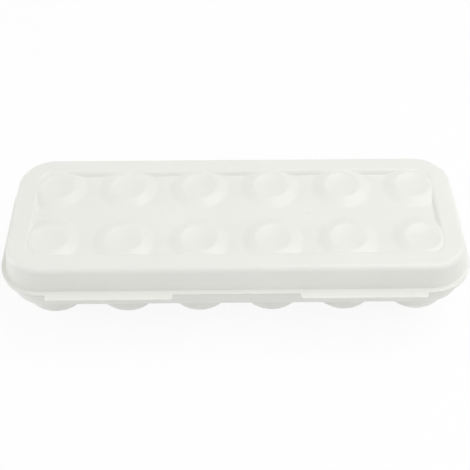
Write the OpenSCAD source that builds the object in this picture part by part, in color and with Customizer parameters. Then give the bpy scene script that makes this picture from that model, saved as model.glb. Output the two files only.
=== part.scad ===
// Egg keeper with flip lid: a one-piece tray with twelve cups, a domed lid and two hinge pins.
// Millimetres, +Z up, the tray stands on z = 0, X runs along the row of six, the hinge is at +Y.

/* [Overall] */
// Distance between neighbouring egg centres
egg_pitch = 50; // [48:1:60]
// Height of the top of the lid above the table
total_h = 64; // [60:1:80]
// Height of the joint line between tray flange and lid flange
joint_h = 44.6; // [42:0.1:50]
// Flange edge beyond the last egg centre, along the length
margin_x = 33.5; // [32:0.5:42]
// Flange edge beyond the last egg centre, along the depth
margin_y = 34; // [33:0.5:42]
// Corner radius of the flanges
corner_r = 30; // [24:1:32]
// Thickness of the moulded walls
wall_t = 1.6; // [1.2:0.1:2]

/* [Lid] */
// How far the lid flange stands out from the lid wall
flange_out = 3.2; // [2.8:0.1:5]
// Thickness of the lid flange and its tabs
lid_flange_t = 1.3; // [1.1:0.1:2]
// How much the lid wall leans in
lid_lean = 2.2; // [1:0.1:4]
// Radius between lid wall and lid top
lid_round = 4.2; // [3:0.1:6]
// Width of the flat frame round the top panel
frame_w = 10; // [8:0.1:12]
// How deep the top panel lies below the frame
panel_drop = 3; // [2:0.1:4]
// How far the dome tops stand above the frame
dome_over = 0.2; // [0.1:0.1:1.5]
// Radius of a dome where it leaves the panel
dome_r = 19.8; // [18:0.1:22]
// Radius of the rim on top of a dome
dome_rim_r = 12.2; // [10:0.1:14]
// Depth of the dish in the top of a dome
dish_depth = 2.3; // [1:0.1:2.6]

/* [Front tabs] */
// Distance from the middle to the centre of a lift tab
tab_x = 84; // [70:1:95]
// Length of a lift tab
tab_len = 83.5; // [50:0.5:90]
// How far a lift tab stands out from the flange
tab_out = 4.3; // [3:0.1:6]
// Rounding of the tab corners
tab_round = 1.6; // [1:0.1:2.5]

/* [Tray] */
// Height of the underside of the tray floor between the cups
floor_h = 29.2; // [26:0.1:32]
// How much the tray skirt leans in
skirt_lean = 1.4; // [0.6:0.1:3]
// Thickness of the tray flange
tray_flange_t = 1.5; // [1.2:0.1:2]
// Outer radius of an egg cup
cup_r = 23.4; // [21:0.1:23.6]
// Radius of the flat foot under a cup
foot_r = 6; // [4:0.5:9]
// Radius of the bend between the cone and the upright side of a cup
cup_round = 16; // [12:0.5:18]
// Angle of the cone under a cup, from level
cup_slope = 38; // [32:1:42]

/* [Hinge] */
// Distance from the middle to the centre of a hinge
hinge_x = 84; // [60:1:100]
// Length of the lid knuckle
knuckle_len = 20; // [12:1:30]
// Length of each tray knuckle
ear_len = 6; // [4:0.5:9]
// Outer radius of the knuckles
barrel_r = 2.6; // [2.4:0.1:2.8]
// Radius of the hinge pins
pin_r = 1; // [0.8:0.05:1.2]
// Running clearance of the lid knuckle round the pin, on the radius
run_fit = 0.06; // [0.04:0.01:0.09]
// Angle at which the heel of the lid knuckle meets the tray
stop_deg = 111; // [95:1:125]

/* [Hidden] */
$fn = 64;
// overlap used where two volumes are joined
lap = 0.2;
// tools reach this far past what they cut
past = 1;
// gap between the two flanges, the dark line in the photo
part_gap = 0.25;
// gap between the ends of neighbouring knuckles
side_gap = 0.3;
// gap between a flange notch and a knuckle
notch_gap = 0.3;
// the pins sit this much tighter than size in the tray knuckles
pin_tight = 0.01;
// steps in a curved outline
bend_steps = 6;
cols = 6;
rows = 2;
flange_hx = egg_pitch * (cols - 1) / 2 + margin_x;
flange_hy = egg_pitch * (rows - 1) / 2 + margin_y;
ccx = flange_hx - corner_r;
ccy = flange_hy - corner_r;
white = [0.93, 0.93, 0.9];
ivory = [0.9, 0.9, 0.87];
steel = [0.7, 0.71, 0.73];

// lid levels
lid_z0 = joint_h + part_gap / 2;
lid_z1 = lid_z0 + lid_flange_t;
crest_z = total_h;
frame_z = total_h - dome_over;
panel_z = frame_z - panel_drop;
wall_r = corner_r - flange_out;
top_r = wall_r - lid_lean;
lean_deg = atan(lid_lean / (frame_z - lid_z1));
recess_hx = ccx + top_r - lid_round - frame_w;
recess_hy = ccy + top_r - lid_round - frame_w;
// corner radius of the recess, and how far its wall leans
recess_r = 10;
recess_lean = 1.4;
// break of the edges of the recess and of the foot of a dome
edge_soft = 0.6;
// flat on the rim of a dome, to each side of its middle
rim_half = 0.45;
// break between that flat and the flank
rim_break = 1;
rim_drop = 0.45;
// small stub that the moulding gate leaves on the panel
gate_r = 0.9;
gate_h = 0.25;

// tray levels
tray_z1 = joint_h - part_gap / 2;
tray_z0 = tray_z1 - tray_flange_t;
// the tray flange and the skirt lie this far inside those of the lid
tray_flange_in = 0.2;
skirt_in = 0.2;
skirt_r = wall_r - skirt_in;
skirt_round = 2;
skirt_deg = atan(skirt_lean / (tray_z0 - floor_h));
deck_z = floor_h + wall_t;

// cup shape: a flat foot, a cone and a round bend up to the side
bend_x = cup_r - cup_round;
bend_z = (bend_x + cup_round * sin(cup_slope) - foot_r) * tan(cup_slope) + cup_round * cos(cup_slope);
inner_foot_r = foot_r - wall_t * (1 / cos(cup_slope) - 1) / tan(cup_slope);
// draft of the upright side, and the break where it meets the floor
cup_draft = 0.3;
cup_break = 0.9;

// hinge line
axis_y = flange_hy + tab_out - barrel_r;
axis_z = joint_h;
heel = barrel_r;
heel_reach = sqrt(2) * heel;
ledge_drop = heel_reach * sin(stop_deg - 45);
ledge_t = 1.6;
ear_x = knuckle_len / 2 + side_gap;
// how far the ear blocks and the ledge stay inside the back of the knuckles
ear_back = 0.6;
// how far the pin ends lie inside the outer ears
pin_recess = 0.4;
pin_half = ear_x + ear_len - pin_recess;

// points along an arc about [cx, cz], from angle a0 to angle a1
function bend(cx, cz, r, a0, a1) =
  [for (i = [0 : bend_steps]) let (a = a0 + (a1 - a0) * i / bend_steps) [cx + r * cos(a), cz + r * sin(a)]];

// Solid with a rounded rectangle plan: pts give reach beyond the corner centres against height
module rounded_body(hx, hy, pts) {
  last = len(pts) - 1;
  z_low = pts[0][1];
  z_high = pts[last][1];
  shape = concat([[0, z_low]], pts, [[0, z_high]]);
  right = [for (p = pts) [hy + p[0], p[1]]];
  left = [for (i = [0 : last]) [-hy - pts[last - i][0], pts[last - i][1]]];
  translate([-hx, 0, 0])
    rotate([90, 0, 90])
      linear_extrude(height = 2 * hx)
        polygon(concat(right, left));
  for (s = [0, 180])
    rotate([0, 0, s])
      translate([hx, hy, 0])
        rotate([90, 0, 0])
          linear_extrude(height = 2 * hy)
            polygon(shape);
  for (q = [[1, 1, 0], [-1, 1, 90], [-1, -1, 180], [1, -1, 270]])
    translate([q[0] * hx, q[1] * hy, 0])
      rotate([0, 0, q[2]])
        rotate_extrude(angle = 90)
          polygon(shape);
}

// one copy at every egg place
module at_eggs() {
  for (i = [0 : cols - 1])
    for (j = [0 : rows - 1])
      translate([(i - (cols - 1) / 2) * egg_pitch, (j - (rows - 1) / 2) * egg_pitch, 0])
        children();
}

// lid outside without the recess; t moves the surface inwards for the inside
module lid_envelope(t, z0) {
  top = frame_z - t;
  r = lid_round - t;
  foot = wall_r - t;
  shoulder = bend(top_r - t - r, top - r, r, lean_deg, 90);
  rounded_body(ccx, ccy, concat([[foot, z0], [foot, lid_z1]], shoulder));
}

// the sunk panel with its leaning edge; t widens and lowers it for the inside
module lid_recess(t) {
  rx = recess_hx - recess_r;
  ry = recess_hy - recess_r;
  r = recess_r + t;
  top = frame_z - t;
  wall = [[r - recess_lean, panel_z - t], [r - edge_soft / 2, top - edge_soft], [r, top]];
  rounded_body(rx, ry, concat(wall, [[r, frame_z + past]]));
}

// dish in the top of a dome: a shallow bowl from radius r at height z to its middle
function dish(r, z) =
  [for (i = [0 : bend_steps]) let (k = i / bend_steps) [r * (1 - k), z - dish_depth * k * (2 - k)]];

// outline of a dome from its foot to its middle, between a top and a base height
function dome(foot, rim, top, base) =
  concat(
    [[foot, base], [foot - 3 * edge_soft, base + edge_soft], [rim + rim_half + rim_break, top - rim_drop]],
    [[rim + rim_half, top]],
    dish(rim - rim_half, top)
  );

// one dome with a dished top, turned round its own axis
module dome_outside() {
  z0 = panel_z - lap;
  rotate_extrude()
    polygon(concat([[0, z0], [dome_r + edge_soft, z0]], dome(dome_r, dome_rim_r, crest_z, panel_z)));
}

// the hollow below one dome
module dome_inside() {
  foot = dome_r - wall_t / 2;
  rim = dome_rim_r - wall_t / 4;
  base = panel_z - wall_t;
  rotate_extrude()
    polygon(concat([[0, base - lap], [foot, base - lap]], dome(foot, rim, crest_z - wall_t, base)));
}

// a thin plate with a rounded rectangle plan
module flange_plate(inset, z0, z1) {
  r = corner_r - inset;
  rounded_body(ccx, ccy, [[r, z0], [r, z1]]);
}

// a lift tab: a thin tongue in front of the flange
module lift_tab() {
  y_out = flange_hy + tab_out;
  y_in = flange_hy - flange_out / 2;
  translate([-tab_len / 2, -y_out + tab_round, lid_z0])
    cube([tab_len, y_out - tab_round - y_in, lid_flange_t]);
  translate([-tab_len / 2 + tab_round, -y_out, lid_z0])
    cube([tab_len - 2 * tab_round, tab_round + lap, lid_flange_t]);
  for (s = [-1, 1])
    translate([s * (tab_len / 2 - tab_round), -y_out + tab_round, lid_z0])
      cylinder(r = tab_round, h = lid_flange_t);
}

// space that the knuckles of the other half need in a flange
module hinge_notch(x0, len, z0, z1) {
  translate([x0, axis_y - barrel_r - notch_gap, z0])
    cube([len, tab_out + 2 * past + barrel_r, z1 - z0]);
}

// the lid half of a hinge: arm, barrel and square heel
module lid_knuckle() {
  reach = axis_y - flange_hy + flange_out + wall_t / 2;
  difference() {
    union() {
      rotate([0, 90, 0])
        cylinder(r = barrel_r, h = knuckle_len, center = true);
      translate([-knuckle_len / 2, 0, 0])
        cube([knuckle_len, heel, heel]);
      translate([-knuckle_len / 2, -reach, part_gap / 2])
        cube([knuckle_len, reach, heel - part_gap / 2]);
    }
    rotate([0, 90, 0])
      cylinder(r = pin_r + run_fit, h = knuckle_len + 2 * past, center = true);
  }
}

// the tray half of a hinge: two ears and a ledge under the lid knuckle
module tray_ears() {
  back = axis_y - flange_hy + flange_out + wall_t / 2;
  low = ledge_drop + ledge_t;
  difference() {
    union() {
      for (s = [-1, 1]) {
        translate([s * (ear_x + ear_len / 2), 0, 0])
          rotate([0, 90, 0])
            cylinder(r = barrel_r, h = ear_len, center = true);
        translate([s * (ear_x + ear_len / 2) - ear_len / 2, -back, -low])
          cube([ear_len, back + barrel_r - ear_back, low - part_gap]);
      }
      translate([-ear_x - lap, -back, -low])
        cube([2 * ear_x + 2 * lap, back + barrel_r - ear_back, ledge_t]);
    }
    rotate([0, 90, 0])
      cylinder(r = pin_r - pin_tight, h = 2 * ear_x + 2 * ear_len + 2 * past, center = true);
  }
}

// tray skirt down to the floor; t moves the surface inwards for the inside
module tray_skirt(t, z_top) {
  foot = skirt_r - skirt_lean - t;
  r = skirt_round - t / 2;
  low = bend(foot - r, floor_h + t + r, r, -90, -skirt_deg);
  rounded_body(ccx, ccy, concat(low, [[skirt_r - t, tray_z0], [skirt_r - t, z_top]]));
}

// outline of a cup from its foot up to the floor, for the outside or the inside
function cup(foot, r, round_r, low, top) =
  concat([[0, low], [foot, low]], bend(bend_x, bend_z, round_r, cup_slope - 90, 0),
    [[r + cup_draft, top - cup_break], [r + cup_draft + cup_break, top]]);

// outside of a cup, from the flat foot up into the floor
module cup_outside() {
  z = deck_z - cup_draft;
  outline = cup(foot_r, cup_r, cup_round, 0, floor_h);
  rotate_extrude()
    polygon(concat(outline, [[cup_r + cup_draft + cup_break, z], [0, z]]));
}

// inside of a cup, open at the top
module cup_inside() {
  r = cup_r - wall_t;
  z = deck_z + lap;
  outline = cup(inner_foot_r, r, cup_round - wall_t, wall_t, deck_z);
  rotate_extrude()
    polygon(concat(outline, [[r + cup_draft + cup_break, z], [0, z]]));
}

module tray() {
  color(ivory)
    union() {
      difference() {
        union() {
          tray_skirt(0, tray_z1 - lap);
          flange_plate(tray_flange_in, tray_z0, tray_z1);
          at_eggs()
            cup_outside();
        }
        tray_skirt(wall_t, tray_z1 + past);
        at_eggs()
          cup_inside();
        for (s = [-1, 1])
          translate([s * hinge_x, 0, 0])
            hinge_notch(-ear_x - lap, 2 * ear_x + 2 * lap, tray_z0 - past, tray_z1 + past);
      }
      for (s = [-1, 1])
        translate([s * hinge_x, axis_y, axis_z])
          tray_ears();
    }
}

module lid() {
  color(white)
    union() {
      difference() {
        union() {
          difference() {
            union() {
              lid_envelope(0, lid_z0);
              flange_plate(0, lid_z0, lid_z1);
            }
            lid_recess(0);
          }
          at_eggs()
            dome_outside();
          for (s = [-1, 1])
            translate([s * tab_x, 0, 0])
              lift_tab();
          for (s = [-1, 1])
            translate([s * egg_pitch, 0, panel_z - lap])
              cylinder(r = gate_r, h = lap + gate_h);
        }
        difference() {
          lid_envelope(wall_t, lid_z0 - past);
          lid_recess(wall_t);
        }
        at_eggs()
          dome_inside();
        for (s = [-1, 1])
          for (e = [-1, 1])
            translate([s * hinge_x + e * (ear_x + ear_len / 2), 0, 0])
              hinge_notch(-ear_len / 2 - side_gap, ear_len + 2 * side_gap, lid_z0 - past, lid_z1 + past);
      }
      for (s = [-1, 1])
        translate([s * hinge_x, axis_y, axis_z])
          lid_knuckle();
    }
}

module hinge_pin() {
  translate([-pin_half, 0, 0])
    rotate([0, 90, 0])
      cylinder(r = pin_r, h = 2 * pin_half);
}

module hinge_pin_left() {
  color(steel)
    translate([-hinge_x, axis_y, axis_z])
      hinge_pin();
}

module hinge_pin_right() {
  color(steel)
    translate([hinge_x, axis_y, axis_z])
      hinge_pin();
}

tray();
lid();
hinge_pin_left();
hinge_pin_right();
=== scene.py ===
import math

import bpy
import numpy as np
from mathutils import Matrix, Vector


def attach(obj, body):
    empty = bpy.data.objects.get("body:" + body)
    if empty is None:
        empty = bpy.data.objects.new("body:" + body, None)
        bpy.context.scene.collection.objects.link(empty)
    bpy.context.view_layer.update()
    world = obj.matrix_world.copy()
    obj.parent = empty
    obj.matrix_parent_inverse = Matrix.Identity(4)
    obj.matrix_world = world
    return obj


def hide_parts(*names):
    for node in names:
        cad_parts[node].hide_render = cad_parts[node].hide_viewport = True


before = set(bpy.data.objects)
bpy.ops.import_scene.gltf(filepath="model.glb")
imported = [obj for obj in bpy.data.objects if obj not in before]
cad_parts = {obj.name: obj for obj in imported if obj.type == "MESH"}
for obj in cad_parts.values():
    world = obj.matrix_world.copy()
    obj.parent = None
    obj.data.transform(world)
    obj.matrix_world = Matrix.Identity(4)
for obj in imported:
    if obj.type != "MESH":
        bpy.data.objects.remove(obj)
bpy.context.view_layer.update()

# Sizes in millimetres, the same as in the part's source
MM = 0.001
COLS = 6
ROWS = 2
PITCH = 50.0
TOTAL_H = 64.0
JOINT_H = 44.6
MARGIN_X = 33.5
MARGIN_Y = 34.0
CORNER_R = 30.0
WALL = 1.6

FLANGE_OUT = 3.2
LID_FLANGE = 1.3
LID_LEAN = 2.2
LID_ROUND = 4.2
FRAME_W = 10.0
PANEL_DROP = 3.0
DOME_OVER = 0.2
DOME_R = 19.8
RIM_R = 12.2
DISH = 2.3
RECESS_R = 10.0

TAB_X = 84.0
TAB_LEN = 83.5
TAB_OUT = 4.3
TAB_ROUND = 1.6

FLOOR_H = 29.2
SKIRT_LEAN = 1.4
SKIRT_ROUND = 2.0
TRAY_FLANGE = 1.5
CUP_R = 23.4
CUP_ROUND = 16.0
CUP_SLOPE = 38.0
FOOT_R = 6.0

HINGE_X = 84.0
KNUCKLE = 20.0
EAR = 6.0
BARREL = 2.6
PIN_R = 1.0
RUN_FIT = 0.06
STOP = 111.0
LEDGE = 1.6
EAR_BACK = 0.6
PIN_RECESS = 0.4
PART_GAP = 0.25
SIDE_GAP = 0.3
NOTCH_GAP = 0.3

# Small rounds and draws that only the look needs
RECESS_EDGE = 3.2
RECESS_START = 1.3
RECESS_CURVE = 2.2
BLEND = 0.7
PLATE_EDGE = 0.34
HINGE_EDGE = 0.22
LEDGE_EDGE = 0.05
FILLET = 0.5
TAB_FILLET = 0.9
NOTCH_FILLET = 0.4
NOTCH_ROUND = 0.3
HEEL_ROUND = 0.35
BLOCK_ROUND = 0.8
LEDGE_ROUND = 0.3
LID_LIP = 0.25
TRAY_LIP = 0.3
FOOT_ROUND = 0.8
FOOT_DENT = 0.35
FOOT_DENT_R = 2.2
FOOT_RIM_R = 2.9
CUP_FILLET = 1.1
CUP_LIP = 1.6
CUP_REACH = 1.3
GATE_R = 1.15
PIN_CHAMFER = 0.25

# How far surfaces run into each other, and the steps of the grids
TUCK = 0.02
EDGE_LEAD = 5
FLANGE_LAP = 1
SKIRT_LAP = 0.9
FLOOR_LAP = 1.7
CUP_LAP = 0.9
LEDGE_LAP = 0.5
EAR_PLAY = 0.2
SKIRT_IN = 0.2
GRID_OUT = 13.9
LID_STEP = 0.75
FINE_IN = 2
FINE_OUT = 0.6
FINE_STEP = 0.2
SKIRT_STEP = 1.6
SKIRT_FINE = 12
SKIRT_FINE_STEP = 1.0
FLAT_FACE = 0.99

# Materials: the middle part of each noise, and how far tone and roughness swing
NOISE_LOW = 0.3
NOISE_HIGH = 0.7
TONE_LOW = 0.985
TONE_HIGH = 1.012
ROUGH_LESS = 0.02
ROUGH_MORE = 0.05
PLASTIC_IOR = 1.49
PLASTIC_ROUGH = 0.30

# Sizes worked out from those above
HALF_X = PITCH * (COLS - 1) / 2 + MARGIN_X
HALF_Y = PITCH * (ROWS - 1) / 2 + MARGIN_Y
CORNER_X = HALF_X - CORNER_R
CORNER_Y = HALF_Y - CORNER_R
LID_LOW = JOINT_H + PART_GAP / 2
LID_FLANGE_TOP = LID_LOW + LID_FLANGE
FRAME_Z = TOTAL_H - DOME_OVER
PANEL_Z = FRAME_Z - PANEL_DROP
WALL_R = CORNER_R - FLANGE_OUT
TOP_R = WALL_R - LID_LEAN
RECESS_X = CORNER_X + TOP_R - LID_ROUND - FRAME_W
RECESS_Y = CORNER_Y + TOP_R - LID_ROUND - FRAME_W
TRAY_HIGH = JOINT_H - PART_GAP / 2
TRAY_FLANGE_LOW = TRAY_HIGH - TRAY_FLANGE
SKIRT_R = WALL_R - SKIRT_IN
DECK_Z = FLOOR_H + WALL
AXIS_Y = HALF_Y + TAB_OUT - BARREL
AXIS_Z = JOINT_H
EAR_X = KNUCKLE / 2 + SIDE_GAP
EAR_MID = EAR_X + EAR / 2
NOTCH_Y = AXIS_Y - BARREL - NOTCH_GAP
HINGE_REACH = AXIS_Y - HALF_Y + FLANGE_OUT + WALL / 2
LEDGE_DROP = math.sqrt(2) * BARREL * math.sin(math.radians(STOP - 45))
COLUMN_X = [(i - (COLS - 1) / 2) * PITCH for i in range(COLS)]
ROW_Y = [(j - (ROWS - 1) / 2) * PITCH for j in range(ROWS)]


class Moulding:
    """Surfaces, in millimetres, that are gathered and made into one object."""

    def __init__(self):
        self.verts = []
        self.faces = []
        self.round = []
        self.count = 0

    def add(self, verts, faces, round_faces=True):
        verts = np.asarray(verts, float)
        flags = [round_faces] * len(faces) if isinstance(round_faces, bool) else round_faces
        self.verts.append(verts)
        self.faces += [[int(i) + self.count for i in face] for face in faces]
        self.round += [bool(flag) for flag in flags]
        self.count += len(verts)

    def make(self, name, material):
        mesh = bpy.data.meshes.new(name)
        mesh.from_pydata((np.vstack(self.verts) * MM).tolist(), [], self.faces)
        mesh.polygons.foreach_set("use_smooth", np.array(self.round, bool))
        mesh.validate()
        mesh.update()
        mesh.materials.append(material)
        made = bpy.data.objects.new(name, mesh)
        bpy.context.scene.collection.objects.link(made)
        return made


# Outlines
def arc(cx, cy, r, a0, a1, steps):
    """Points along an arc about (cx, cy), from angle a0 to angle a1 in degrees."""
    turns = [math.radians(a0 + (a1 - a0) * k / steps) for k in range(steps + 1)]
    return [(cx + r * math.cos(t), cy + r * math.sin(t)) for t in turns]


def straight(p, q, steps):
    """The points between p and q, without either end."""
    return [(p[0] + (q[0] - p[0]) * k / steps, p[1] + (q[1] - p[1]) * k / steps) for k in range(1, steps)]


def rounded(points, radii, steps=6):
    """The inner corners of a run of points, each rounded by its own radius."""
    out = []
    for before, point, after, radius in zip(points, points[1:], points[2:], radii):
        p = Vector(point)
        to_a = (Vector(before) - p).normalized()
        to_b = (Vector(after) - p).normalized()
        half = to_a.angle(to_b) / 2
        centre = p + (to_a + to_b).normalized() * radius / math.sin(half)
        start = p + to_a * radius / math.tan(half) - centre
        end = p + to_b * radius / math.tan(half) - centre
        a0 = math.atan2(start.y, start.x)
        turn = (math.atan2(end.y, end.x) - a0 + math.pi) % (2 * math.pi) - math.pi
        angles = [math.degrees(a0), math.degrees(a0 + turn)]
        out += arc(centre.x, centre.y, radius, *angles, steps)
    return out


def corner(sx, sy, r, a0, steps=40):
    """A quarter round at one corner of the part's plan."""
    return arc(sx * CORNER_X, sy * CORNER_Y, r, a0, a0 + 90, steps)


def plan(r):
    """The rounded rectangle that reaches r beyond the corner centres."""
    return corner(-1, -1, r, 180) + corner(1, -1, r, 270) + corner(1, 1, r, 0) + corner(-1, 1, r, 90)


def flange_plan(inset, tabs, notches):
    """Outline of a flange: tabs in front and notches behind, each a centre and a half length."""
    r = CORNER_R - inset
    front = -CORNER_Y - r
    rear = CORNER_Y + r
    tab_y = front - TAB_OUT + inset
    out = corner(-1, -1, r, 180)
    for x, half in sorted(tabs):
        ends = [(x - half - EDGE_LEAD, front), (x - half, front), (x - half, tab_y)]
        ends += [(x + half, tab_y), (x + half, front), (x + half + EDGE_LEAD, front)]
        out += rounded(ends, [TAB_FILLET, TAB_ROUND, TAB_ROUND, TAB_FILLET])
    out += corner(1, -1, r, 270) + corner(1, 1, r, 0)
    for x, half in sorted(notches, reverse=True):
        ends = [(x + half + EDGE_LEAD, rear), (x + half, rear), (x + half, NOTCH_Y)]
        ends += [(x - half, NOTCH_Y), (x - half, rear), (x - half - EDGE_LEAD, rear)]
        out += rounded(ends, [NOTCH_FILLET, NOTCH_ROUND, NOTCH_ROUND, NOTCH_FILLET], 3)
    return out + corner(-1, 1, r, 90)


# Surfaces
def grid_lines(half, step, fine_from, fine_to, fine_step):
    """Places of grid lines to both sides of zero, closer together in one stretch."""
    coarse_in = np.linspace(0, fine_from, round(fine_from / step) + 1)
    fine = np.linspace(fine_from, fine_to, round((fine_to - fine_from) / fine_step) + 1)
    coarse_out = np.linspace(fine_to, half, max(2, round((half - fine_to) / step) + 1))
    side = np.concatenate([coarse_in, fine[1:], coarse_out[1:]])
    return np.concatenate([-side[:0:-1], side])


def edge_ring(xs, ys):
    """Edge nodes of a grid in order round it: corner centre, outward direction and place in the grid."""
    last_x = len(xs) - 1
    last_y = len(ys) - 1
    order = [(i, 0) for i in range(last_x)] + [(last_x, j) for j in range(last_y)]
    order += [(i, last_y) for i in range(last_x, 0, -1)] + [(0, j) for j in range(last_y, 0, -1)]
    nodes = np.array([(xs[i], ys[j]) for i, j in order])
    centres = np.clip(nodes, (-CORNER_X, -CORNER_Y), (CORNER_X, CORNER_Y))
    ways = nodes - centres
    ways /= np.linalg.norm(ways, axis=1)[:, None]
    return centres, ways, [i * len(ys) + j for i, j in order]


def ring_faces(a, b):
    """Faces between two rings of vertex numbers."""
    return [(a[k - 1], b[k - 1], b[k], a[k]) for k in range(len(a))]


def shell(moulding, xs, ys, top, profile, under):
    """A height field above, rings round it that follow a profile, and a second height field below."""
    gx, gy = np.meshgrid(xs, ys, indexing="ij")
    centres, ways, ring = edge_ring(xs, ys)
    size = gx.size
    verts = [np.column_stack([gx.ravel(), gy.ravel(), top(gx, gy).ravel()])]
    cells = [i * len(ys) + j for i in range(len(xs) - 1) for j in range(len(ys) - 1)]
    up = len(ys)
    faces = [(c, c + up, c + up + 1, c + 1) for c in cells]
    before = ring
    for level, (r, z) in enumerate(profile):
        verts.append(np.column_stack([centres + ways * r, np.full(len(ring), z)]))
        first = size + level * len(ring)
        now = list(range(first, first + len(ring)))
        faces += ring_faces(before, now)
        before = now
    first = size + len(profile) * len(ring)
    verts.append(np.column_stack([gx.ravel(), gy.ravel(), under(gx, gy).ravel()]))
    faces += ring_faces(before, [first + i for i in ring])
    faces += [(first + c, first + c + 1, first + c + up + 1, first + c + up) for c in cells]
    moulding.add(np.vstack(verts), faces)


def band(moulding, xs, ys, section):
    """A closed cross-section carried round the part's plan."""
    centres, ways, ring = edge_ring(xs, ys)
    n = len(ring)
    verts = [np.column_stack([centres + ways * r, np.full(n, z)]) for r, z in section]
    rows = [list(range(k * n, k * n + n)) for k in range(len(section))]
    faces = []
    for k in range(len(section)):
        faces += ring_faces(rows[k - 1], rows[k])
    moulding.add(np.vstack(verts), faces)


def turned(outline, steps):
    """Vertices and faces of an outline of (radius, height) turned about the axis that it ends on."""
    angles = np.arange(steps) * 2 * np.pi / steps
    verts = [(0, 0, outline[0][1])]
    for r, z in outline[1:-1]:
        verts += [(r * math.cos(a), r * math.sin(a), z) for a in angles]
    verts.append((0, 0, outline[-1][1]))
    rows = [list(range(1 + k * steps, 1 + (k + 1) * steps)) for k in range(len(outline) - 2)]
    faces = [(0, rows[0][k], rows[0][k - 1]) for k in range(steps)]
    for a, b in zip(rows, rows[1:]):
        faces += ring_faces(b, a)
    end = len(verts) - 1
    faces += [(end, rows[-1][k - 1], rows[-1][k]) for k in range(steps)]
    return np.array(verts), faces


def plate(moulding, loops, thick, edge, place, edge_steps=3):
    """A flat plate from closed outlines, the first of them its outside, with rounded edges."""
    curve = bpy.data.curves.new("plate", "CURVE")
    curve.dimensions = "2D"
    curve.fill_mode = "BOTH"
    curve.extrude = (thick / 2 - edge) * MM
    curve.bevel_depth = edge * MM
    curve.bevel_resolution = edge_steps
    curve.offset = -edge * MM
    for loop in loops:
        spline = curve.splines.new("POLY")
        spline.points.add(len(loop) - 1)
        for point, (x, y) in zip(spline.points, loop):
            point.co = (x * MM, y * MM, 0, 1)
        spline.use_cyclic_u = True
    drawn = bpy.data.objects.new("plate", curve)
    bpy.context.scene.collection.objects.link(drawn)
    bpy.context.view_layer.update()
    graph = bpy.context.evaluated_depsgraph_get()
    mesh = bpy.data.meshes.new_from_object(drawn.evaluated_get(graph))
    verts = [place(*(c / MM for c in v.co)) for v in mesh.vertices]
    faces = [list(p.vertices) for p in mesh.polygons]
    moulding.add(verts, faces, [abs(p.normal.z) < FLAT_FACE for p in mesh.polygons])
    bpy.data.objects.remove(drawn)
    bpy.data.curves.remove(curve)
    bpy.data.meshes.remove(mesh)


def level(z):
    """Puts a plate flat at a height."""
    return lambda x, y, t: (x, y, t + z)


# Heights of the lid's top
def soft_max(a, b, k):
    h = np.clip(0.5 + 0.5 * (a - b) / k, 0, 1)
    return b * (1 - h) + a * h + k * h * (1 - h)


def inside_recess(x, y):
    """Distance inward from the edge of the recess."""
    qx = np.abs(x) - (RECESS_X - RECESS_R)
    qy = np.abs(y) - (RECESS_Y - RECESS_R)
    corner_part = np.hypot(np.maximum(qx, 0), np.maximum(qy, 0))
    return RECESS_R - corner_part - np.minimum(np.maximum(qx, qy), 0)


def from_egg(x, y):
    """Distance from the nearest egg centre."""
    column = np.clip(np.round(x / PITCH + (COLS - 1) / 2), 0, COLS - 1)
    row = np.clip(np.round(y / PITCH + (ROWS - 1) / 2), 0, ROWS - 1)
    return np.hypot(x - (column - (COLS - 1) / 2) * PITCH, y - (row - (ROWS - 1) / 2) * PITCH)


def lid_surface(x, y, inset):
    """Height of the lid's top, or of its underside with inset as the wall."""
    down_wall = np.clip((inside_recess(x, y) + inset + RECESS_START) / RECESS_EDGE, 0, 1)
    flat = FRAME_Z - inset - PANEL_DROP * down_wall ** RECESS_CURVE
    r = from_egg(x, y)
    rim = RIM_R - inset / 4
    foot = DOME_R - inset / 2
    crest = TOTAL_H - inset
    flank = crest + BLEND / 4 - (DOME_OVER + PANEL_DROP) * (r - rim) / (foot - rim)
    bowl = crest + BLEND / 4 - DISH * (1 - (r / rim) ** 2)
    dome = -soft_max(-flank, -bowl, BLEND)
    return np.minimum(soft_max(flat, dome, BLEND), crest)


# Materials
def add_node(tree, kind, **values):
    made = tree.nodes.new("ShaderNode" + kind)
    for key, value in values.items():
        made.inputs[key.replace("_", " ")].default_value = value
    return made


def tone_ramp(tree, source, low, high):
    ramp = add_node(tree, "ValToRGB")
    ramp.color_ramp.elements[0].position = NOISE_LOW
    ramp.color_ramp.elements[1].position = NOISE_HIGH
    ramp.color_ramp.elements[0].color = (*low, 1)
    ramp.color_ramp.elements[1].color = (*high, 1)
    tree.links.new(source.outputs["Fac"], ramp.inputs["Fac"])
    return ramp


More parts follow.
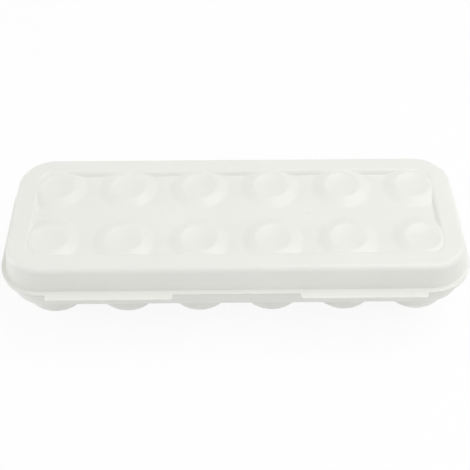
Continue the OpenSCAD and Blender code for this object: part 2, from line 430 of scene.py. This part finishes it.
def white_plastic(name, colour, rough, seed):
    """Moulded polypropylene: a faint cloudy tone, a fine spark-eroded grain and a soft sheen."""
    material = bpy.data.materials.new(name)
    material.use_nodes = True
    tree = material.node_tree
    shader = tree.nodes["Principled BSDF"]
    place = add_node(tree, "TexCoord")
    shift = add_node(tree, "Mapping", Location=(seed, seed, seed))
    cloud = add_node(tree, "TexNoise", Scale=22.0, Detail=3.0)
    patches = add_node(tree, "TexNoise", Scale=60.0, Detail=4.0)
    grain = add_node(tree, "TexNoise", Scale=2600.0, Detail=2.0)
    tree.links.new(place.outputs["Object"], shift.inputs["Vector"])
    for noise in (cloud, patches, grain):
        tree.links.new(shift.outputs["Vector"], noise.inputs["Vector"])
    tone = tone_ramp(tree, cloud, [c * TONE_LOW for c in colour], [c * TONE_HIGH for c in colour])
    gloss = add_node(tree, "MapRange", From_Min=NOISE_LOW, From_Max=NOISE_HIGH)
    gloss.inputs["To Min"].default_value = rough - ROUGH_LESS
    gloss.inputs["To Max"].default_value = rough + ROUGH_MORE
    bump = add_node(tree, "Bump", Strength=0.35, Distance=0.00003)
    tree.links.new(tone.outputs["Color"], shader.inputs["Base Color"])
    tree.links.new(patches.outputs["Fac"], gloss.inputs["Value"])
    tree.links.new(gloss.outputs["Result"], shader.inputs["Roughness"])
    tree.links.new(grain.outputs["Fac"], bump.inputs["Height"])
    tree.links.new(bump.outputs["Normal"], shader.inputs["Normal"])
    shader.inputs["IOR"].default_value = PLASTIC_IOR
    material.diffuse_color = (*colour, 1)
    return material


def drawn_steel(name):
    """Drawn wire, with fine lines along its length."""
    material = bpy.data.materials.new(name)
    material.use_nodes = True
    tree = material.node_tree
    shader = tree.nodes["Principled BSDF"]
    place = add_node(tree, "TexCoord")
    stretch = add_node(tree, "Mapping", Scale=(60.0, 3000.0, 3000.0))
    lines = add_node(tree, "TexNoise", Scale=1.0, Detail=3.0)
    tree.links.new(place.outputs["Object"], stretch.inputs["Vector"])
    tree.links.new(stretch.outputs["Vector"], lines.inputs["Vector"])
    tone = tone_ramp(tree, lines, (0.50, 0.50, 0.51), (0.66, 0.66, 0.67))
    gloss = add_node(tree, "MapRange", To_Min=0.24, To_Max=0.42)
    tree.links.new(tone.outputs["Color"], shader.inputs["Base Color"])
    tree.links.new(lines.outputs["Fac"], gloss.inputs["Value"])
    tree.links.new(gloss.outputs["Result"], shader.inputs["Roughness"])
    shader.inputs["Metallic"].default_value = 1.0
    return material


LID_COLOUR = (0.850, 0.856, 0.812)
TRAY_COLOUR = (0.848, 0.852, 0.812)
lid_plastic = white_plastic("lid_plastic", LID_COLOUR, PLASTIC_ROUGH, 0.0)
tray_plastic = white_plastic("tray_plastic", TRAY_COLOUR, PLASTIC_ROUGH, 3.1)
pin_steel = drawn_steel("pin_steel")


# The lid: top, walls, flange with tabs, gate marks and knuckles
def side_plate(moulding, loops, x0, x1, edge):
    """A plate across the hinge line, from outlines of (y, z) about that line."""
    mid = (x0 + x1) / 2
    plate(moulding, loops, x1 - x0, edge, lambda y, z, t: (mid + t, AXIS_Y + y, AXIS_Z + z))


def lid_wall():
    """Profile from the edge of the flat frame, down the outside and up the inside."""
    lean = math.degrees(math.atan(LID_LEAN / (FRAME_Z - LID_FLANGE_TOP)))
    mid_r = TOP_R - LID_ROUND
    mid_z = FRAME_Z - LID_ROUND
    shoulder = arc(mid_r, mid_z, LID_ROUND, 88, lean, 12)
    foot = arc(WALL_R + FILLET, LID_FLANGE_TOP + FILLET, FILLET, 188, 268, 5)
    rim = [(WALL_R + FILLET, LID_LOW + TUCK), (WALL_R - WALL + FILLET, LID_LOW + TUCK / 2)]
    lip = arc(WALL_R - WALL + 0.3, LID_LOW + 0.26, LID_LIP, 262, 186, 3)
    inside = arc(mid_r, mid_z, LID_ROUND - WALL, lean, 88, 8)
    outer = shoulder + straight(shoulder[-1], foot[0], 6) + foot
    inner = rim + lip + straight(lip[-1], inside[0], 6) + inside
    return [(mid_r - 0.7, FRAME_Z)] + outer + inner + [(mid_r - 1.0, FRAME_Z - WALL)]


def knuckle_outline():
    """The lid's barrel with its square heel and the arm to the flange."""
    low = PART_GAP / 2
    heel = arc(BARREL - HEEL_ROUND, BARREL - HEEL_ROUND, HEEL_ROUND, 90, 0, 4)
    barrel = arc(0, 0, BARREL, 0, -180, 28)
    return [(-HINGE_REACH, BARREL)] + heel + barrel + [(-BARREL, low), (-HINGE_REACH, low)]


grid_step = LID_STEP
grid_x = grid_lines(CORNER_X + GRID_OUT, grid_step, RECESS_X - FINE_IN, RECESS_X + FINE_OUT, FINE_STEP)
grid_y = grid_lines(CORNER_Y + GRID_OUT, grid_step, RECESS_Y - FINE_IN, RECESS_Y + FINE_OUT, FINE_STEP)
lid = Moulding()
shell(
    lid,
    grid_x,
    grid_y,
    lambda x, y: lid_surface(x, y, 0),
    lid_wall(),
    lambda x, y: lid_surface(x, y, WALL),
)
tabs = [(side * TAB_X, TAB_LEN / 2) for side in (-1, 1)]
lid_notches = [(s * HINGE_X + e * EAR_MID, EAR / 2 + SIDE_GAP) for s in (-1, 1) for e in (-1, 1)]
lid_loops = [flange_plan(0, tabs, lid_notches), plan(WALL_R - FLANGE_LAP)]
plate(lid, lid_loops, LID_FLANGE, PLATE_EDGE, level((LID_LOW + LID_FLANGE_TOP) / 2))

# A gate mark, by its radius and its height over the panel
gate_rise = [(0, -0.3), (GATE_R, -0.3), (GATE_R, -TUCK), (0.85, 0.2), (0.7, 0.26), (0.35, 0.2), (0, 0.12)]
gate_verts, gate_faces = turned([(r, PANEL_Z + rise) for r, rise in gate_rise], 32)
for x in (-PITCH, PITCH):
    lid.add(gate_verts + (x, 0, 0), gate_faces)

for side in (-1, 1):
    bore = arc(0, 0, PIN_R + RUN_FIT, 0, 351, 39)
    x = side * HINGE_X
    side_plate(lid, [knuckle_outline(), bore], x - KNUCKLE / 2, x + KNUCKLE / 2, HINGE_EDGE)

lid_moulding = lid.make("lid_moulding", lid_plastic)
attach(lid_moulding, "lid")
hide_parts("lid")


# The tray: skirt, flange, floor, cups, ears and ledges
def skirt_section():
    """Closed section of the skirt, from the flange down the outside and up the inside."""
    lean = math.degrees(math.atan(SKIRT_LEAN / (TRAY_FLANGE_LOW - FLOOR_H)))
    foot = SKIRT_R - SKIRT_LEAN
    neck = arc(SKIRT_R + FILLET, TRAY_FLANGE_LOW - FILLET, FILLET, 92, 178, 4)
    turn = arc(foot - SKIRT_ROUND, FLOOR_H + SKIRT_ROUND, SKIRT_ROUND, -lean, -88, 8)
    inner_r = SKIRT_ROUND - WALL / 2
    inner_turn = arc(foot - WALL - inner_r, DECK_Z + inner_r, inner_r, -88, -lean, 6)
    lip = arc(SKIRT_R - WALL + TRAY_LIP, TRAY_HIGH - TRAY_LIP, TRAY_LIP, 180, 92, 3)
    top = [(SKIRT_R - TRAY_LIP, TRAY_HIGH - TRAY_LIP), (SKIRT_R + FILLET, TRAY_FLANGE_LOW + TRAY_LIP)]
    floor_in = foot - SKIRT_ROUND - 0.6
    under = [(floor_in, FLOOR_H + TUCK / 4), (floor_in, DECK_Z - TUCK)]
    outer = top + neck + straight(neck[-1], turn[0], 5) + turn + under
    return outer + inner_turn + straight(inner_turn[-1], lip[0], 5) + lip


def cup_outline():
    """A cup from the middle of its underside, round the lip in the floor, to the middle of its inside."""
    slope = math.radians(CUP_SLOPE)
    bend_x = CUP_R - CUP_ROUND
    run = bend_x + CUP_ROUND * math.sin(slope) - FOOT_R
    bend_z = run * math.tan(slope) + CUP_ROUND * math.cos(slope)
    inner_foot = FOOT_R - WALL * (1 / math.cos(slope) - 1) / math.tan(slope)
    soft = FOOT_ROUND * math.tan(slope / 2)
    foot = arc(FOOT_R - soft, FOOT_ROUND, FOOT_ROUND, -90, CUP_SLOPE - 90, 4)
    out = [(0, FOOT_DENT), (FOOT_DENT_R, FOOT_DENT), (FOOT_RIM_R, 0.0)] + foot
    side = arc(bend_x, bend_z, CUP_ROUND, CUP_SLOPE - 90, 0, 16)
    out += straight(out[-1], side[0], 6) + side
    out += arc(CUP_R + CUP_REACH, FLOOR_H - CUP_FILLET, CUP_FILLET, 178, 92, 5)
    out += [(CUP_R + CUP_REACH, DECK_Z - 0.4), (CUP_R + 1.0, DECK_Z + TUCK / 4)]
    out += arc(CUP_R - WALL + 1.9, DECK_Z - CUP_LIP, CUP_LIP, 92, 178, 6)
    inside = arc(bend_x, bend_z, CUP_ROUND - WALL, 0, CUP_SLOPE - 90, 14)
    out += inside + straight(inside[-1], (inner_foot + 0.6, WALL + 0.5), 5)
    return out + [(inner_foot + 0.6, WALL + 0.5), (inner_foot - 0.2, WALL + 0.1), (2.6, WALL), (0, WALL)]


def ear_outline():
    """The tray's knuckle with the block that carries it."""
    low = LEDGE_DROP + LEDGE
    out = BARREL - EAR_BACK
    top = -PART_GAP
    join = -math.degrees(math.acos(out / BARREL))
    turn = 180 + math.degrees(math.asin(-top / BARREL))
    block = [(-HINGE_REACH, top), (-HINGE_REACH, -low)]
    block += arc(out - BLOCK_ROUND, BLOCK_ROUND - low, BLOCK_ROUND, -90, 0, 5)
    return block + arc(0, 0, BARREL, join, turn, 36)


def ledge_outline():
    """The ledge that the heel of the lid's knuckle meets when the lid is right open."""
    low = LEDGE_DROP + LEDGE
    out = BARREL - EAR_BACK
    block = [(-HINGE_REACH, -LEDGE_DROP), (-HINGE_REACH, -low)]
    block += arc(out - BLOCK_ROUND, BLOCK_ROUND - low, BLOCK_ROUND, -90, 0, 5)
    return block + arc(out - LEDGE_ROUND, -LEDGE_DROP - LEDGE_ROUND, LEDGE_ROUND, 0, 90, 3)


tray = Moulding()
skirt_x = grid_lines(CORNER_X + GRID_OUT, SKIRT_STEP, CORNER_X, CORNER_X + SKIRT_FINE, SKIRT_FINE_STEP)
skirt_y = grid_lines(CORNER_Y + GRID_OUT, SKIRT_STEP, CORNER_Y, CORNER_Y + SKIRT_FINE, SKIRT_FINE_STEP)
band(tray, skirt_x, skirt_y, skirt_section())

tray_notches = [(side * HINGE_X, EAR_X + EAR_PLAY) for side in (-1, 1)]
tray_loops = [flange_plan(SKIRT_IN, [], tray_notches), plan(SKIRT_R - SKIRT_LAP)]
plate(tray, tray_loops, TRAY_FLANGE, PLATE_EDGE, level((TRAY_FLANGE_LOW + TRAY_HIGH) / 2))

floor_loops = [plan(SKIRT_R - SKIRT_LEAN - FLOOR_LAP)]
floor_loops += [arc(x, y, CUP_R + CUP_LAP, 0, 356.25, 95) for x in COLUMN_X for y in ROW_Y]
plate(tray, floor_loops, WALL, TUCK, level(FLOOR_H + WALL / 2), 0)

cup_verts, cup_faces = turned(cup_outline(), 112)
for x in COLUMN_X:
    for y in ROW_Y:
        tray.add(cup_verts + (x, y, 0), cup_faces)

for side in (-1, 1):
    x = side * HINGE_X
    bore = arc(0, 0, PIN_R, 0, 351, 39)
    for mid in (x - EAR_MID, x + EAR_MID):
        side_plate(tray, [ear_outline(), bore], mid - EAR / 2, mid + EAR / 2, HINGE_EDGE)
    side_plate(tray, [ledge_outline()], x - EAR_X - LEDGE_LAP, x + EAR_X + LEDGE_LAP, LEDGE_EDGE)

tray_moulding = tray.make("tray_moulding", tray_plastic)
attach(tray_moulding, "tray")
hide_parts("tray")

# The hinge pins: drawn wire with chamfered ends
pin_half = EAR_X + EAR - PIN_RECESS
pin_end = [(PIN_R, pin_half - PIN_CHAMFER), (PIN_R - PIN_CHAMFER, pin_half), (0, pin_half)]
pin_outline = [(r, -z) for r, z in reversed(pin_end)] + pin_end
pin_verts, pin_faces = turned(pin_outline, 40)
for side, name in ((-1, "left"), (1, "right")):
    pin = Moulding()
    lying = pin_verts[:, [2, 0, 1]]
    pin.add(lying + (side * HINGE_X, AXIS_Y, AXIS_Z), pin_faces)
    pin_wire = pin.make("pin_" + name, pin_steel)
    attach(pin_wire, "tray")
    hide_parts("hinge_pin_" + name)

# The solids that these pieces stand in for keep the same finishes
finishes = {"lid": lid_plastic, "tray": tray_plastic}
finishes |= {"hinge_pin_left": pin_steel, "hinge_pin_right": pin_steel}
for name, material in finishes.items():
    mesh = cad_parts[name].data
    mesh.materials.clear()
    mesh.materials.append(material)


# Floor, surroundings and lamps
def seen_or_lit(tree, lit, seen, share):
    """Shows one shader to the eye and in reflections, and lights the scene with the other."""
    path = add_node(tree, "LightPath")
    either = add_node(tree, "Math")
    either.operation = "MAXIMUM"
    anyway = add_node(tree, "Math")
    anyway.operation = "MAXIMUM"
    part = add_node(tree, "Math")
    part.operation = "MULTIPLY"
    part.inputs[1].default_value = share
    mix = add_node(tree, "MixShader")
    tree.links.new(path.outputs["Is Camera Ray"], either.inputs[0])
    tree.links.new(path.outputs["Is Glossy Ray"], either.inputs[1])
    tree.links.new(path.outputs["Is Transmission Ray"], anyway.inputs[0])
    tree.links.new(either.outputs[0], anyway.inputs[1])
    tree.links.new(anyway.outputs[0], part.inputs[0])
    tree.links.new(part.outputs[0], mix.inputs["Fac"])
    tree.links.new(lit, mix.inputs[1])
    tree.links.new(seen, mix.inputs[2])
    return mix.outputs["Shader"]


FLOOR_HALF = 6.0
FLOOR_WHITE = 0.9
floor_mesh = bpy.data.meshes.new("floor")
corners = [(-FLOOR_HALF, -FLOOR_HALF, 0), (FLOOR_HALF, -FLOOR_HALF, 0)]
corners += [(FLOOR_HALF, FLOOR_HALF, 0), (-FLOOR_HALF, FLOOR_HALF, 0)]
floor_mesh.from_pydata(corners, [], [(0, 1, 2, 3)])
paper = bpy.data.materials.new("floor_paper")
paper.use_nodes = True
paper_tree = paper.node_tree
paper_shader = paper_tree.nodes["Principled BSDF"]
paper_shader.inputs["Base Color"].default_value = (0.95, 0.95, 0.95, 1)
paper_shader.inputs["Roughness"].default_value = 0.9
paper_shader.inputs["Specular IOR Level"].default_value = 0.1
glow = add_node(paper_tree, "Emission", Color=(1, 1, 1, 1), Strength=1.0)
paper_mix = seen_or_lit(paper_tree, paper_shader.outputs["BSDF"], glow.outputs["Emission"], FLOOR_WHITE)
paper_tree.links.new(paper_mix, paper_tree.nodes["Material Output"].inputs["Surface"])
floor_mesh.materials.append(paper)
floor = bpy.data.objects.new("floor", floor_mesh)
bpy.context.scene.collection.objects.link(floor)

AMBIENT = 0.608
world = bpy.data.worlds.new("studio")
bpy.context.scene.world = world
world.use_nodes = True
sky_tree = world.node_tree
sky = sky_tree.nodes["Background"]
sky.inputs["Color"].default_value = (1, 1, 1, 1)
sky.inputs["Strength"].default_value = AMBIENT
backdrop = add_node(sky_tree, "Background", Color=(1, 1, 1, 1), Strength=1.0)
sky_mix = seen_or_lit(sky_tree, sky.outputs["Background"], backdrop.outputs["Background"], 1.0)
sky_tree.links.new(sky_mix, sky_tree.nodes["World Output"].inputs["Surface"])


def lamp(name, place, size, watts):
    """A square soft box that faces the part."""
    light = bpy.data.lights.new(name, "AREA")
    light.shape = "SQUARE"
    light.size = size
    light.energy = watts
    made = bpy.data.objects.new(name, light)
    made.location = place
    made.rotation_mode = "QUATERNION"
    to_part = Vector((0, 0, JOINT_H * MM)) - Vector(place)
    made.rotation_quaternion = to_part.to_track_quat("-Z", "Y")
    bpy.context.scene.collection.objects.link(made)


lamp("overhead", (0, -0.1, 1.6), 1.4, 2.6)
lamp("top_right", (0.75, 0.1, 1.35), 1.2, 7.2)
lamp("front_right", (0.9, -0.9, 1.1), 1.0, 1.5)
lamp("left_low", (-1.5, 0, 0.25), 0.5, 3.8)

# Camera, fitted to the photograph: angles in radians, lengths in millimetres
LOOK_DOWN = 0.822823
TURN = 0.0138853
ROLL = 0.00177685
DISTANCE = 624.961
AIM_RIGHT = 0.273915
AIM_UP = 17.6883
AIM_Z = 65.0
FOCAL_PX = 912.677
PHOTO_PX = 470.0
SENSOR_MM = 36.0
right = Vector((math.cos(TURN), -math.sin(TURN), 0))
along = Vector((math.sin(TURN), math.cos(TURN), 0))
forward = math.cos(LOOK_DOWN) * along - Vector((0, 0, math.sin(LOOK_DOWN)))
up = right.cross(forward)
place = Vector((0, 0, AIM_Z)) - AIM_RIGHT * right - AIM_UP * up - DISTANCE * forward
rolled_right = math.cos(ROLL) * right + math.sin(ROLL) * up
rolled_up = math.cos(ROLL) * up - math.sin(ROLL) * right
turn = Matrix((rolled_right, rolled_up, -forward)).transposed()
camera_data = bpy.data.cameras.new("camera")
camera_data.sensor_width = SENSOR_MM
camera_data.lens = FOCAL_PX / PHOTO_PX * SENSOR_MM
camera_data.clip_start = 0.01
camera_data.clip_end = 50.0
camera = bpy.data.objects.new("camera", camera_data)
camera.matrix_world = Matrix.Translation(place * MM) @ turn.to_4x4()
bpy.context.scene.collection.objects.link(camera)
bpy.context.scene.camera = camera
bpy.context.scene.view_settings.view_transform = "Standard"
